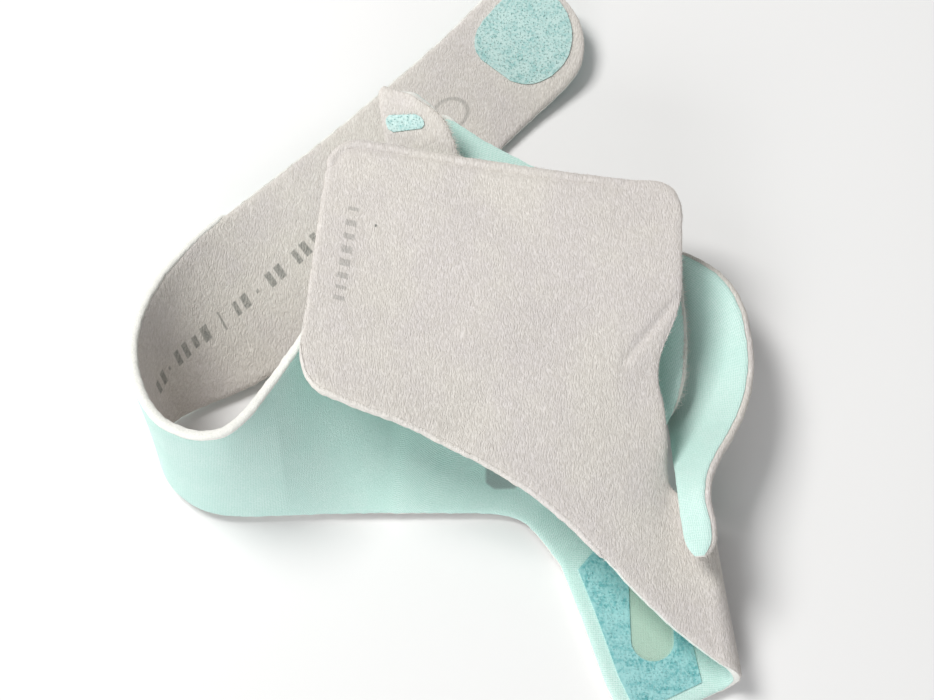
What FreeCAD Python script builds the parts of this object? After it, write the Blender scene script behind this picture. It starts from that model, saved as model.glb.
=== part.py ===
import FreeCAD, Part
import Sketcher
import math
import os
from FreeCAD import Vector

# A small foot wrap cut from a three-layer laminate: smooth knit, foam, brushed pile.
# Millimetres. Z is up, and the wrap lies on the plane Z = 0.
# Every bent strip is a ruled sheet: a row of straight stations, each from its upper
# edge to its lower edge, joined by quadratic spline edges.

os.makedirs("parts", exist_ok=True)
doc = FreeCAD.newDocument("foot_wrap")

DIMENSIONS = {
    "knit_thickness": 0.4,
    "foam_thickness": 1.5,
    "pile_thickness": 0.4,
    "film_gap": 0.05,
    "hook_thickness": 0.6,
    "hinge_clearance": 1.6,
    "lobe_corner": 4.0,
    "lobe_hook_border": 3.0,
    "window_width": 9.0,
    "window_length": 20.0,
    "centre_x": -4.5,
    "centre_y": 11.8,
}

sheet = doc.addObject("Spreadsheet::Sheet", "dimensions")
for row, (name, value) in enumerate(DIMENSIONS.items(), start=1):
    sheet.set("A%d" % row, name)
    sheet.set("B%d" % row, str(value))
    sheet.setAlias("B%d" % row, name)
doc.recompute()

HALF_FOAM = DIMENSIONS["foam_thickness"] / 2
FACE_START = HALF_FOAM + DIMENSIONS["film_gap"]
KNIT_END = FACE_START + DIMENSIONS["knit_thickness"]
PILE_END = FACE_START + DIMENSIONS["pile_thickness"]
HOOK_START = PILE_END + DIMENSIONS["film_gap"]
HOOK_END = HOOK_START + DIMENSIONS["hook_thickness"]
CENTRE = Vector(DIMENSIONS["centre_x"], DIMENSIONS["centre_y"], 0)

# Stations: (upper edge), (lower edge). The loop strap, from the panel round to its tip.
STRAP = [
    ((-40.5, -12.5, 28), (-38, -31, 1.2)),
    ((-46, -21.5, 29), (-49.5, -31.5, 1.2)),
    ((-54, -23.5, 29), (-58, -29.5, 1.2)),
    ((-63.5, -19.5, 28.5), (-65, -23, 1.2)),
    ((-69, -8, 27.5), (-67, -11, 1.2)),
    ((-69, 8, 24), (-60, -7, 1.2)),
    ((-61.5, 27, 14), (-44.5, -1, 1.2)),
    ((-51, 40, 8), (-29.5, 14, 1.2)),
    ((-32, 59, 5), (-9, 38, 1.2)),
    ((-11, 80, 5), (12, 62.5, 1.2)),
    ((-2.5, 88.5, 6), (21, 71, 2)),
    ((3.5, 95, 7.5), (28.5, 79, 4)),
    ((11, 101, 8.5), (27.5, 92, 6.5)),
    ((19, 98, 8.5), (21.5, 97, 8)),
]

# The wide panel, from the loop strap to the flat lobe.
PANEL = [
    ((-40.5, -12.5, 28), (-38, -31, 1.2)),
    ((-34.5, -3, 27.5), (-33.5, -31, 1.2)),
    ((-25, 18, 25), (-27, -31, 1.2)),
    ((-15, 40, 20.7), (-21, -31, 1.2)),
    ((-9, 60, 18.5), (-16, -31, 1.2)),
    ((6, 48.5, 17.8), (-12, -31, 1.2)),
    ((27, 37.5, 17.4), (-8, -31, 1.2)),
    ((45, 36.5, 18), (-4, -31, 1.2)),
    ((46, 21, 17), (0, -31, 1.2)),
    ((47, 0, 15), (4, -31, 1.2)),
    ((44.5, -12, 12.5), (9, -31.5, 1.3)),
    ((37, -18, 6), (13, -33.5, 1.4)),
    ((35, -24, 1.2), (17.5, -39, 1.2)),
    ((33, -28, 1.2), (20, -43, 1.2)),
]

# The fold at the lobe's right side, and the flap that comes back over the panel.
FLAP = [
    ((44.5, -32, 1.2), (51.5, -69, 1.2)),
    ((50, -33, 1.2), (54.8, -67.6, 1.2)),
    ((50, -33, 13), (54.8, -66.8, 8.2)),
    ((44.5, -31.5, 13.6), (48.5, -63, 9)),
    ((40.5, -28, 14.5), (38, -55, 12)),
    ((41.5, -16, 19), (24, -40.5, 17)),
    ((38.6, -5, 22), (14, -32.5, 20.5)),
    ((45, 7, 24), (6, -28, 22.5)),
    ((45.5, 18, 25), (0, -25, 24)),
    ((46.5, 36, 25.5), (-5, -23, 25)),
    ((33, 36, 26), (-10, -20.5, 26.5)),
    ((-3.5, 41.5, 27), (-16, -18.5, 28)),
    ((-17, 44, 27.5), (-24, -16, 29.5)),
    ((-27.5, 45.5, 28), (-33.5, -12, 31)),
    ((-30, 40, 28), (-34, -4, 31)),
]

# The short strap, from under the panel, round and up to its tip on the fold.
SHORT = [
    ((32, 30, 13.2), (20.5, 9, 8.4)),
    ((42, 26, 13.4), (27, 6, 7.5)),
    ((50.5, 23.5, 13.5), (34, 4, 4.5)),
    ((59, 15.5, 14), (39, 2, 2.5)),
    ((61, -1, 15), (42, -2, 2.2)),
    ((57.5, -14, 16), (44, -10, 3.5)),
    ((49.8, -26, 19), (43.5, -21, 11)),
    ((48.2, -33, 20.5), (43.4, -30, 16.8)),
    ((49.6, -38.5, 19.6), (43.9, -38.5, 17)),
    ((49.4, -43, 18.8), (44.6, -43, 17)),
    ((47.9, -44.8, 18.2), (46.1, -44.8, 17.5)),
]

# The inner tab, from the panel's face up past the flap's far edge.
TAB = [
    ((5, 8, 12.7), (-11.5, 8, 12.5)),
    ((3, 18, 15), (-13.5, 18, 15.5)),
    ((1, 30, 21), (-15.5, 30, 23.1)),
    ((-2, 44.5, 24), (-17, 42, 24.4)),
    ((-5, 52, 26), (-18.5, 50, 24.5)),
    ((-8.5, 54.5, 27), (-20, 59.5, 25.5)),
    ((-12, 57, 27.5), (-18, 59.5, 26)),
]

# The flat lobe's outline on the ground: its last side is where the panel joins it.
LOBE = [(20, -43), (24, -54), (28.3, -67), (33, -77.5), (51.5, -69), (44.5, -32), (33, -28)]

# The lower end of the smooth window in the lobe's hook patch, and the strap's last station.
WINDOW_END = (38.4, -63)
TIP_END = 11.98
PATCH_SECTIONS = 9

# The hook patches on the strips: first and last station, and share of the strip's width.
TIP_HOOK = (9.2, 11.7, 0.74)
TAB_HOOK = (3.2, 3.8, 0.6)

# The foam's rounded nose along a flex line: its radius, and how far it stops from the edges.
NOSE_RADIUS = 0.65
NOSE_INSET = 0.3

# Where the laminate flexes, as a station number along each strip.
LOOP_HINGE = 4.0
TIP_HINGE = 8.5
FLAP_HINGE = 3.0
SHORT_TIP_HINGE = 6.2
TAB_HINGE = 2.9


def spline_point(points, at):
    """Point and tangent of the quadratic spline through a list of control points."""
    last = len(points) - 1
    span = min(int(at), last - 2)
    along = at - span
    control = [Vector(*p) for p in points[span:span + 3]]
    start = control[0] if span == 0 else (control[0] + control[1]) * 0.5
    end = control[2] if span == last - 2 else (control[1] + control[2]) * 0.5
    middle = control[1]
    back = 1 - along
    point = start * back ** 2 + middle * (2 * along * back) + end * along ** 2
    tangent = (middle - start) * (2 * back) + (end - middle) * (2 * along)
    return point, tangent


def ruling(net, at):
    """Both edge points of the strip at a station, and its mean surface normal there."""
    upper, upper_tangent = spline_point([s[0] for s in net], at)
    lower, lower_tangent = spline_point([s[1] for s in net], at)
    across = lower - upper
    upper_normal = upper_tangent.cross(across).normalize()
    lower_normal = lower_tangent.cross(across).normalize()
    if upper_normal.dot(lower_normal) < 0:
        raise ValueError("the strip folds over itself at %.2f" % at)
    return upper, lower, (upper_normal + lower_normal).normalize()


def section(net, at, low, high, share=1.0):
    """A layer's cut face at one station, over the middle share of the strip's width."""
    upper, lower, normal = ruling(net, at)
    inset = (lower - upper) * ((1 - share) / 2)
    first = upper + inset - CENTRE
    second = lower - inset - CENTRE
    corners = [first + normal * low, second + normal * low,
               second + normal * high, first + normal * high]
    return Part.makePolygon(corners + corners[:1])


def sheet_solid(net, start, end, low, high):
    """A closed solid between two stations and two offsets from the mid surface."""
    count = max(4, math.ceil((end - start) * 4) + 1)
    places = [start + (end - start) * k / (count - 1) for k in range(count)]
    return Part.makeLoft([section(net, place, low, high) for place in places], True, True)


def oval_solid(net, start, end, low, high, share):
    """A patch on the strip's face that narrows to a rounded end both ways."""
    wires = []
    for k in range(PATCH_SECTIONS):
        across = 2 * k / (PATCH_SECTIONS - 1) - 1
        width = (1 - abs(across) ** 3) ** (1 / 3)
        place = start + (end - start) * k / (PATCH_SECTIONS - 1)
        wires.append(section(net, place, low, high, share * max(width, 0.4)))
    return Part.makeLoft(wires, True, False)


def distance_from_line(point, origin, direction):
    return (point - origin).cross(direction).Length


def past_hinge(net, hinge):
    """The first station that is a full clearance beyond the hinge line at both edges."""
    upper, lower = ruling(net, hinge)[:2]
    direction = (upper - lower).normalize()
    at = hinge
    nearest = 0.0
    while nearest < DIMENSIONS["hinge_clearance"]:
        at += 0.005
        edge_a, edge_b = ruling(net, at)[:2]
        nearest = min(distance_from_line(edge_a, lower, direction),
                      distance_from_line(edge_b, lower, direction))
    return at


def add_solid(label, shape):
    feature = doc.addObject("Part::Feature", label)
    feature.Label = label
    feature.Shape = shape
    feature.Placement = FreeCAD.Placement()
    return feature


def add_laminate(name, net, start, end, knit_side, nosed=False):
    """Three layers of one stretch of strip. knit_side is the sign of its smooth face."""
    foam = sheet_solid(net, start, end, -HALF_FOAM, HALF_FOAM)
    if nosed:
        upper, lower = ruling(net, end)[:2]
        axis = (upper - lower).normalize()
        foot = lower - CENTRE + axis * NOSE_INSET
        height = upper.distanceToPoint(lower) - 2 * NOSE_INSET
        foam = foam.fuse(Part.makeCylinder(NOSE_RADIUS, height, foot, axis))
    knit = sorted((knit_side * FACE_START, knit_side * KNIT_END))
    pile = sorted((-knit_side * FACE_START, -knit_side * PILE_END))
    add_solid(name + "_knit", sheet_solid(net, start, end, *knit))
    add_solid(name + "_foam", foam)
    add_solid(name + "_pile", sheet_solid(net, start, end, *pile))


def plane_of(body, role):
    for feature in body.Origin.OriginFeatures:
        if feature.Role == role:
            return feature


def rounded_outline(sketch, corners, radii):
    """Lines joined by tangent arcs. A radius of 0 keeps the corner sharp."""
    count = len(corners)
    ends = []
    for k in range(count):
        here = Vector(corners[k][0], corners[k][1], 0)
        before = (Vector(*corners[k - 1], 0) - here).normalize()
        after = (Vector(*corners[(k + 1) % count], 0) - here).normalize()
        if radii[k] == 0:
            ends.append((here, here))
            continue
        half_angle = before.getAngle(after) / 2
        cut = radii[k] / math.tan(half_angle)
        enter = here + before * cut
        leave = here + after * cut
        centre = here + (before + after).normalize() * (radii[k] / math.sin(half_angle))
        middle = centre + (here - centre).normalize() * radii[k]
        sketch.addGeometry(Part.Arc(enter, middle, leave), False)
        ends.append((enter, leave))
    for k in range(count):
        sketch.addGeometry(Part.LineSegment(ends[k][1], ends[(k + 1) % count][0]), False)


def add_plate(label, corners, radii, height_name, lift):
    """A flat layer of the lobe: a padded outline, lifted to its place in the stack."""
    body = doc.addObject("PartDesign::Body", label)
    body.Label = label
    sketch = body.newObject("Sketcher::SketchObject", label + "_outline")
    sketch.AttachmentSupport = [(plane_of(body, "XY_Plane"), "")]
    sketch.MapMode = "FlatFace"
    shifted = [(x - CENTRE.x, y - CENTRE.y) for x, y in corners]
    rounded_outline(sketch, shifted, radii)
    pad = body.newObject("PartDesign::Pad", label + "_pad")
    pad.Profile = sketch
    pad.setExpression("Length", "dimensions." + height_name)
    body.Placement = FreeCAD.Placement(Vector(0, 0, lift), FreeCAD.Rotation())
    return body


def inset_outline(corners, border):
    """The outline moved inwards by the border, corner by corner, anticlockwise."""
    count = len(corners)
    result = []
    for k in range(count):
        here = Vector(*corners[k], 0)
        before = (here - Vector(*corners[k - 1], 0)).normalize()
        after = (Vector(*corners[(k + 1) % count], 0) - here).normalize()
        inward = Vector(-before.y - after.y, before.x + after.x, 0).normalize()
        reach = border / math.cos(before.getAngle(after) / 2)
        moved = here + inward * reach
        result.append((moved.x, moved.y))
    return result


def add_lobe():
    """The flat lobe: pile on the ground, foam, knit, and a hook patch with a window."""
    corner = DIMENSIONS["lobe_corner"]
    radii = [0, 0, 0, corner, 0, 0, 0]
    film = DIMENSIONS["film_gap"]
    lift = 0.0
    for layer in ("pile", "foam", "knit"):
        add_plate("lobe_" + layer, LOBE, radii, layer + "_thickness", lift)
        lift += DIMENSIONS[layer + "_thickness"] + film
    outline = inset_outline(LOBE, DIMENSIONS["lobe_hook_border"])
    patch = add_plate("lobe_hook_patch", outline, [0, 0, 0, corner / 2, 0, 0, 0],
                      "hook_thickness", lift)
    half = DIMENSIONS["window_width"] / 2
    top = WINDOW_END[1] + DIMENSIONS["window_length"]
    frame = [(WINDOW_END[0] - half, WINDOW_END[1]), (WINDOW_END[0] + half, WINDOW_END[1]),
             (WINDOW_END[0] + half, top), (WINDOW_END[0] - half, top)]
    sketch = patch.newObject("Sketcher::SketchObject", "lobe_window_outline")
    sketch.AttachmentSupport = [(plane_of(patch, "XY_Plane"), "")]
    sketch.MapMode = "FlatFace"
    rounded_outline(sketch, [(x - CENTRE.x, y - CENTRE.y) for x, y in frame], [half * 0.9] * 4)
    window = patch.newObject("PartDesign::Pocket", "lobe_window")
    window.Profile = sketch
    window.Type = "ThroughAll"
    window.Midplane = True


def add_hook(name, net, side, start, end, share):
    low, high = sorted((side * HOOK_START, side * HOOK_END))
    add_solid(name, oval_solid(net, start, end, low, high, share))


def add_wrap():
    """Every strip of the wrap, cut at the lines where the laminate flexes."""
    add_lobe()
    add_laminate("panel", PANEL, 0, len(PANEL) - 2, -1)
    add_laminate("loop", STRAP, 0, LOOP_HINGE, 1, nosed=True)
    add_laminate("run", STRAP, past_hinge(STRAP, LOOP_HINGE), TIP_HINGE, 1, nosed=True)
    add_laminate("tip", STRAP, past_hinge(STRAP, TIP_HINGE), TIP_END, 1)
    add_hook("tip_hook_patch", STRAP, -1, *TIP_HOOK)
    add_laminate("fold", FLAP, 0, FLAP_HINGE, -1, nosed=True)
    add_laminate("flap", FLAP, past_hinge(FLAP, FLAP_HINGE), len(FLAP) - 2, -1)
    add_laminate("short_band", SHORT, 0, SHORT_TIP_HINGE, -1, nosed=True)
    add_laminate("short_tip", SHORT, past_hinge(SHORT, SHORT_TIP_HINGE), len(SHORT) - 2, -1)
    add_laminate("tab_root", TAB, 0, TAB_HINGE, -1, nosed=True)
    add_laminate("tab", TAB, past_hinge(TAB, TAB_HINGE), len(TAB) - 2, -1)
    add_hook("tab_hook_patch", TAB, 1, *TAB_HOOK)


def check_and_write():
    """Stop on any bad object, then write each node under its own name."""
    doc.recompute()
    for item in doc.Objects:
        if "Invalid" in item.State or "Error" in item.State:
            raise ValueError("bad state: " + item.Name)
    for item in doc.Objects:
        if item.TypeId not in ("Part::Feature", "PartDesign::Body"):
            continue
        if item.Shape.isNull() or not item.Shape.isValid():
            raise ValueError("bad shape: " + item.Label)
        item.Shape.exportStep("parts/%s.step" % item.Label)


add_wrap()
check_and_write()
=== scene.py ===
import math

import bpy
import numpy as np
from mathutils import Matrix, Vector, geometry, kdtree


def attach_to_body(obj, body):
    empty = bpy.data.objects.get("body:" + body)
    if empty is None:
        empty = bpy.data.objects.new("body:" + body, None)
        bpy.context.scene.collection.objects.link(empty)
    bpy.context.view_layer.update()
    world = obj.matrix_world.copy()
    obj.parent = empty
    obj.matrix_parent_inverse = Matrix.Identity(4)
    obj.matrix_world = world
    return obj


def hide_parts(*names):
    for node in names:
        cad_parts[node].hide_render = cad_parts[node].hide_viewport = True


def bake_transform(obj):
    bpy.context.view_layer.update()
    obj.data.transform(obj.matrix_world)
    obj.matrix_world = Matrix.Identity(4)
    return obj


# Soft skin for a small foot wrap: mint knit outside, foam core, grey brushed pile inside.
# Lengths in this file are millimetres until a mesh is made, and metres in Blender.

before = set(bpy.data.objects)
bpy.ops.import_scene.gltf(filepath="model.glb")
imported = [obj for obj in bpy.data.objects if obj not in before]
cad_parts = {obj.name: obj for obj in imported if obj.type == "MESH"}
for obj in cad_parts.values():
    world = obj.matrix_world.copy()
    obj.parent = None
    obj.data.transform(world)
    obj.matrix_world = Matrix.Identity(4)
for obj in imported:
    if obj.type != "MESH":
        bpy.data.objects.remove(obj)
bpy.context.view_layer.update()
rng = np.random.default_rng(7)

MM = 0.001
CENTRE = np.array([-4.5, 11.8, 0.0])

# Stations along each strip: (upper edge), (lower edge), the same sheets as the CAD part's.
STRAP = [
    ((-40.5, -12.5, 28), (-38, -31, 1.2)),
    ((-46, -21.5, 29), (-49.5, -31.5, 1.2)),
    ((-54, -23.5, 29), (-58, -29.5, 1.2)),
    ((-63.5, -19.5, 28.5), (-65, -23, 1.2)),
    ((-69, -8, 27.5), (-67, -11, 1.2)),
    ((-69, 8, 24), (-60, -7, 1.2)),
    ((-61.5, 27, 14), (-44.5, -1, 1.2)),
    ((-51, 40, 8), (-29.5, 14, 1.2)),
    ((-32, 59, 5), (-9, 38, 1.2)),
    ((-11, 80, 5), (12, 62.5, 1.2)),
    ((-2.5, 88.5, 6), (21, 71, 2)),
    ((3.5, 95, 7.5), (28.5, 79, 4)),
    ((11, 101, 8.5), (27.5, 92, 6.5)),
    ((19, 98, 8.5), (21.5, 97, 8)),
]
PANEL = [
    ((-40.5, -12.5, 28), (-38, -31, 1.2)),
    ((-34.5, -3, 27.5), (-33.5, -31, 1.2)),
    ((-25, 18, 25), (-27, -31, 1.2)),
    ((-15, 40, 20.7), (-21, -31, 1.2)),
    ((-9, 60, 18.5), (-16, -31, 1.2)),
    ((6, 48.5, 17.8), (-12, -31, 1.2)),
    ((27, 37.5, 17.4), (-8, -31, 1.2)),
    ((45, 36.5, 18), (-4, -31, 1.2)),
    ((46, 21, 17), (0, -31, 1.2)),
    ((47, 0, 15), (4, -31, 1.2)),
    ((44.5, -12, 12.5), (9, -31.5, 1.3)),
    ((37, -18, 6), (13, -33.5, 1.4)),
    ((35, -24, 1.2), (17.5, -39, 1.2)),
    ((33, -28, 1.2), (20, -43, 1.2)),
]
FLAP = [
    ((44.5, -32, 1.2), (51.5, -69, 1.2)),
    ((50, -33, 1.2), (54.8, -67.6, 1.2)),
    ((50, -33, 13), (54.8, -66.8, 8.2)),
    ((44.5, -31.5, 13.6), (48.5, -63, 9)),
    ((40.5, -28, 14.5), (38, -55, 12)),
    ((41.5, -16, 19), (24, -40.5, 17)),
    ((38.6, -5, 22), (14, -32.5, 20.5)),
    ((45, 7, 24), (6, -28, 22.5)),
    ((45.5, 18, 25), (0, -25, 24)),
    ((46.5, 36, 25.5), (-5, -23, 25)),
    ((33, 36, 26), (-10, -20.5, 26.5)),
    ((-3.5, 41.5, 27), (-16, -18.5, 28)),
    ((-17, 44, 27.5), (-24, -16, 29.5)),
    ((-27.5, 45.5, 28), (-33.5, -12, 31)),
    ((-30, 40, 28), (-34, -4, 31)),
]
SHORT = [
    ((32, 30, 13.2), (20.5, 9, 8.4)),
    ((42, 26, 13.4), (27, 6, 7.5)),
    ((50.5, 23.5, 13.5), (34, 4, 4.5)),
    ((59, 15.5, 14), (39, 2, 2.5)),
    ((61, -1, 15), (42, -2, 2.2)),
    ((57.5, -14, 16), (44, -10, 3.5)),
    ((49.8, -26, 19), (43.5, -21, 11)),
    ((48.2, -33, 20.5), (43.4, -30, 16.8)),
    ((49.6, -38.5, 19.6), (43.9, -38.5, 17)),
    ((49.4, -43, 18.8), (44.6, -43, 17)),
    ((47.9, -44.8, 18.2), (46.1, -44.8, 17.5)),
]
TAB = [
    ((5, 8, 12.7), (-11.5, 8, 12.5)),
    ((3, 18, 15), (-13.5, 18, 15.5)),
    ((1, 30, 21), (-15.5, 30, 23.1)),
    ((-2, 44.5, 24), (-17, 42, 24.4)),
    ((-5, 52, 26), (-18.5, 50, 24.5)),
    ((-8.5, 54.5, 27), (-20, 59.5, 25.5)),
    ((-12, 57, 27.5), (-18, 59.5, 26)),
]
LOBE = [(20, -43), (24, -54), (28.3, -67), (33, -77.5), (51.5, -69), (44.5, -32), (33, -28)]
LOBE_FREE = 4          # the lobe's first sides are cut edges; the others run on into the strips
LOBE_CORNERS = {3: 4.0}
LOBE_HEIGHT = 1.2
WINDOW_CENTRE = (38.4, -53.0)
WINDOW_HALF = (4.5, 10.0)

# Distances of the layers' faces from the middle of the laminate.
FOAM = 0.75
SKIN = 0.76
FACE = 1.2
HOOK_LOW, HOOK_HIGH = 1.18, 1.5

# Printed marks: panel patch (x span, y span, slanted edge, metres), strap bars (from, to, half height
# along the strap), oval ring (place along and across, inner and outer radius), flap dashes.
PANEL_PRINT = ((0.0085, 0.0150), (-0.0382, -0.0250), -0.0305)
STRAP_BARS = [(160.5, 161.9, 1.7), (163.2, 164.6, 1.7), (166.2, 166.8, 0.4), (169.0, 170.4, 1.7),
              (171.6, 173.0, 1.7), (174.6, 176.0, 1.3), (177.4, 179.4, 1.7), (183.0, 183.5, 2.2),
              (187.2, 188.4, 1.6), (189.6, 191.4, 1.6), (193.8, 194.6, 0.4), (197.6, 199.2, 1.7),
              (200.4, 202.2, 1.7), (206.0, 207.4, 1.7), (208.6, 210.4, 1.7), (212.0, 213.6, 1.7)]
RING = (258.0, 0.3, 4.0, 5.0)
FLAP_DASHES = [(-12.6, -11.7), (-9.4, -8.0), (-6.2, -4.9), (-3.3, -1.6), (-0.2, 1.4), (3.0, 4.3), (6.0, 6.8),
               (8.4, 9.4)]

CREASE = ((45.5, 10.5), (31.0, -6.5))

STEP = 0.9             # between stations along a strip
FINE = 4000            # points on each edge that the stations are picked from
LANES = 33             # points across a strip's hook patch
EDGE_SPOTS = [0, 0.05, 0.14, 0.28, 0.48, 0.75, 1.1, 1.6, 2.2]    # distances of points from a cut edge
EDGE_ROUND = 0.34      # how much a skin's face drops at a cut edge
EDGE_REACH = 0.9
PRESS = 0.2            # share of its thickness that the laminate loses at a cut edge
PRESS_REACH = 1.6


# ---------------------------------------------------------------- strips


def spline(points, at):
    """Points and tangents of the quadratic spline through control points, at many stations."""
    points = np.array(points, float)
    last = len(points) - 1
    span = np.clip(at.astype(int), 0, last - 2)
    along = (at - span)[:, None]
    first_span = (span == 0)[:, None]
    last_span = (span == last - 2)[:, None]
    middle = points[span + 1]
    start = np.where(first_span, points[0], (points[span] + middle) / 2)
    end = np.where(last_span, points[last], (middle + points[span + 2]) / 2)
    place = start * (1 - along) ** 2 + 2 * middle * along * (1 - along) + end * along ** 2
    tangent = (middle - start) * (1 - along) + (end - middle) * along
    return place, tangent


def unit(vectors):
    return vectors / np.maximum(np.linalg.norm(vectors, axis=-1, keepdims=True), 1e-9)


def travel_along(line):
    """Distance of each point of a line from its start, along the line."""
    steps = np.linalg.norm(np.diff(line, axis=0), axis=1)
    return np.concatenate([[0], np.cumsum(steps)])


def wobble(at, seed, lengths, size):
    """A sum of a few sines: a fixed, smooth unevenness along a line."""
    local = np.random.default_rng(seed)
    total = np.zeros_like(at)
    for length in lengths:
        total += np.sin(at * (2 * math.pi / length) + local.uniform(0, 6.28))
    return total * size / len(lengths)


def ruled_strip(parts, seed):
    """The mid surface of a strip: its edges, their normals, station labels and lengths."""
    tops, bottoms, top_normals, bottom_normals, labels = [], [], [], [], []
    for net, first, last in parts:
        fine = np.linspace(first, last, FINE)
        top, top_tangent = spline([s[0] for s in net], fine)
        bottom, bottom_tangent = spline([s[1] for s in net], fine)
        moves = [np.linalg.norm(np.diff(e, axis=0), axis=1) for e in (top, bottom)]
        travel = np.concatenate([[0], np.cumsum(np.maximum(*moves))])
        count = int(travel[-1] / STEP) + 2
        pick = np.interp(np.linspace(0, travel[-1], count), travel, np.arange(FINE)).astype(int)
        pick[-1] = FINE - 1
        heading = math.copysign(1, last - first)
        across = bottom - top
        for store, tangent in ((top_normals, top_tangent), (bottom_normals, bottom_tangent)):
            raw = np.cross(unit(tangent), unit(across)) * heading
            store.append(settle(unit(raw), np.linalg.norm(raw, axis=1))[pick])
        tops.append(top[pick])
        bottoms.append(bottom[pick])
        labels.append(fine[pick] * heading)
    strip = {"top": np.concatenate(tops), "bottom": np.concatenate(bottoms),
             "top_normal": np.concatenate(top_normals),
             "bottom_normal": np.concatenate(bottom_normals),
             "label": np.concatenate(labels)}
    drop_repeats(strip)
    roughen_edges(strip, seed)
    strip["length"] = travel_along((strip["top"] + strip["bottom"]) / 2)
    strip["width"] = np.linalg.norm(strip["bottom"] - strip["top"], axis=1)
    return strip


def settle(normals, strength):
    """Normals with each weak one replaced by its nearest sound neighbour."""
    sound = np.flatnonzero(strength > 0.3)
    places = np.arange(len(normals))
    nearest = np.clip(np.searchsorted(sound, places), 1, len(sound) - 1)
    before, after = sound[nearest - 1], sound[nearest]
    best = np.where(places - before < after - places, before, after)
    return normals[best]


def drop_repeats(strip):
    """Remove the doubled station where two nets meet."""
    gap = np.linalg.norm(np.diff(strip["top"], axis=0), axis=1)
    gap += np.linalg.norm(np.diff(strip["bottom"], axis=0), axis=1)
    keep = np.concatenate([[True], gap > 1e-4])
    for key in strip:
        strip[key] = strip[key][keep]


def roughen_edges(strip, seed):
    """Cut edges are never quite straight."""
    inward = unit(strip["bottom"] - strip["top"])
    width = np.linalg.norm(strip["bottom"] - strip["top"], axis=1)
    soft = np.clip(width / 10, 0, 1)[:, None]
    for k, (key, sign) in enumerate((("top", 1), ("bottom", -1))):
        shift = wobble(travel_along(strip[key]), seed + k, (2.3, 3.7, 6.1, 11.0), 0.14)[:, None]
        strip[key] = strip[key] + inward * (sign * shift) * soft


def lay_grid(strip, inner_count, free_ends, waviness=0.3):
    """Points, normals and edge distances of a strip's mid surface."""
    width = strip["width"][:, None]
    spots = np.array(EDGE_SPOTS)[None, :] * np.minimum(1, width / (3 * EDGE_SPOTS[-1]))
    inside = np.linspace(0, 1, inner_count + 2)[None, 1:-1]
    middle = spots[:, -1:] + inside * (width - 2 * spots[:, -1:])
    across = np.concatenate([spots, middle, width - spots[:, ::-1]], axis=1)
    share = (across / width)[..., None]
    points = strip["top"][:, None] * (1 - share) + strip["bottom"][:, None] * share
    normals = unit(strip["top_normal"][:, None] * (1 - share) + strip["bottom_normal"][:, None] * share)
    lift = np.clip((points[..., 2] - 1.2) / 8, 0, 1)
    x, y, z = points[..., 0], points[..., 1], points[..., 2]
    wave = np.sin(x / 5.3 + y / 9.1) + np.sin(y / 4.1 - z / 6.3)
    wave += np.sin(x / 11.7 - y / 6.9 + 1.3)
    points = points + normals * (wave * lift * waviness / 3)[..., None]
    border = [strip["top"], strip["bottom"]]
    if free_ends[0]:
        border.append(points[0])
    if free_ends[1]:
        border.append(points[-1])
    strip["points"] = points
    strip["normals"] = normals
    strip["across"] = across
    strip["edge"] = distance_to(points, np.concatenate(border))
    return strip


def distance_to(points, targets):
    """Distance from each grid point to the nearest of the target points."""
    tree = kdtree.KDTree(len(targets))
    for k, target in enumerate(targets):
        tree.insert(target, k)
    tree.balance()
    flat = points.reshape(-1, 3)
    found = np.array([tree.find(p)[2] for p in flat])
    return found.reshape(points.shape[:-1])


# ---------------------------------------------------------------- layers


def pressed(edge):
    """How much of its thickness the laminate keeps, by distance from a cut edge."""
    near = np.clip(1 - edge / PRESS_REACH, 0, 1)
    return 1 - PRESS * near ** 2


def rounded(edge):
    """How far a skin's face drops towards a cut edge."""
    near = np.clip(1 - edge / EDGE_REACH, 0, 1)
    return EDGE_ROUND * (1 - np.sqrt(np.maximum(1 - near ** 2, 0)))


def shell(strip, rows, inner, outer, relief=None):
    """A closed layer over some rows of a strip, between two offsets from its mid surface."""
    points = strip["points"][rows]
    normals = strip["normals"][rows]
    edge = strip["edge"][rows]
    high = outer * pressed(edge)
    if abs(outer) > FOAM:
        high = high - math.copysign(1, outer) * rounded(edge)
    if relief is not None:
        high = high + math.copysign(1, outer) * relief[rows]
    low = inner * pressed(edge)
    upper = points + normals * high[..., None]
    lower = points + normals * low[..., None]
    rows_count, columns = edge.shape
    number = np.arange(rows_count * columns).reshape(rows_count, columns)
    quads = np.stack([number[:-1, :-1], number[1:, :-1], number[1:, 1:], number[:-1, 1:]], -1).reshape(-1, 4)
    other = quads[:, ::-1] + rows_count * columns
    ring = np.concatenate([number[0, :], number[1:, -1], number[-1, -2::-1], number[-2:0:-1, 0]])
    after = np.roll(ring, -1)
    total = rows_count * columns
    sides = np.stack([ring, after, after + total, ring + total], -1)
    faces = np.concatenate([quads, other, sides])
    if outer > inner:
        faces = faces[:, ::-1]
    vertices = np.concatenate([upper.reshape(-1, 3), lower.reshape(-1, 3)])
    along = np.repeat(strip["length"][rows][:, None], columns, 1)
    across = strip["across"][rows] - strip["width"][rows][:, None] / 2
    coordinates = np.stack([along, across], -1).reshape(-1, 2)
    label = np.repeat(strip["label"][rows][:, None], columns, 1).ravel()
    return vertices, faces, np.tile(coordinates, (2, 1)), np.tile(label, 2)


def to_frame(points):
    return (points - CENTRE) * MM


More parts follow.
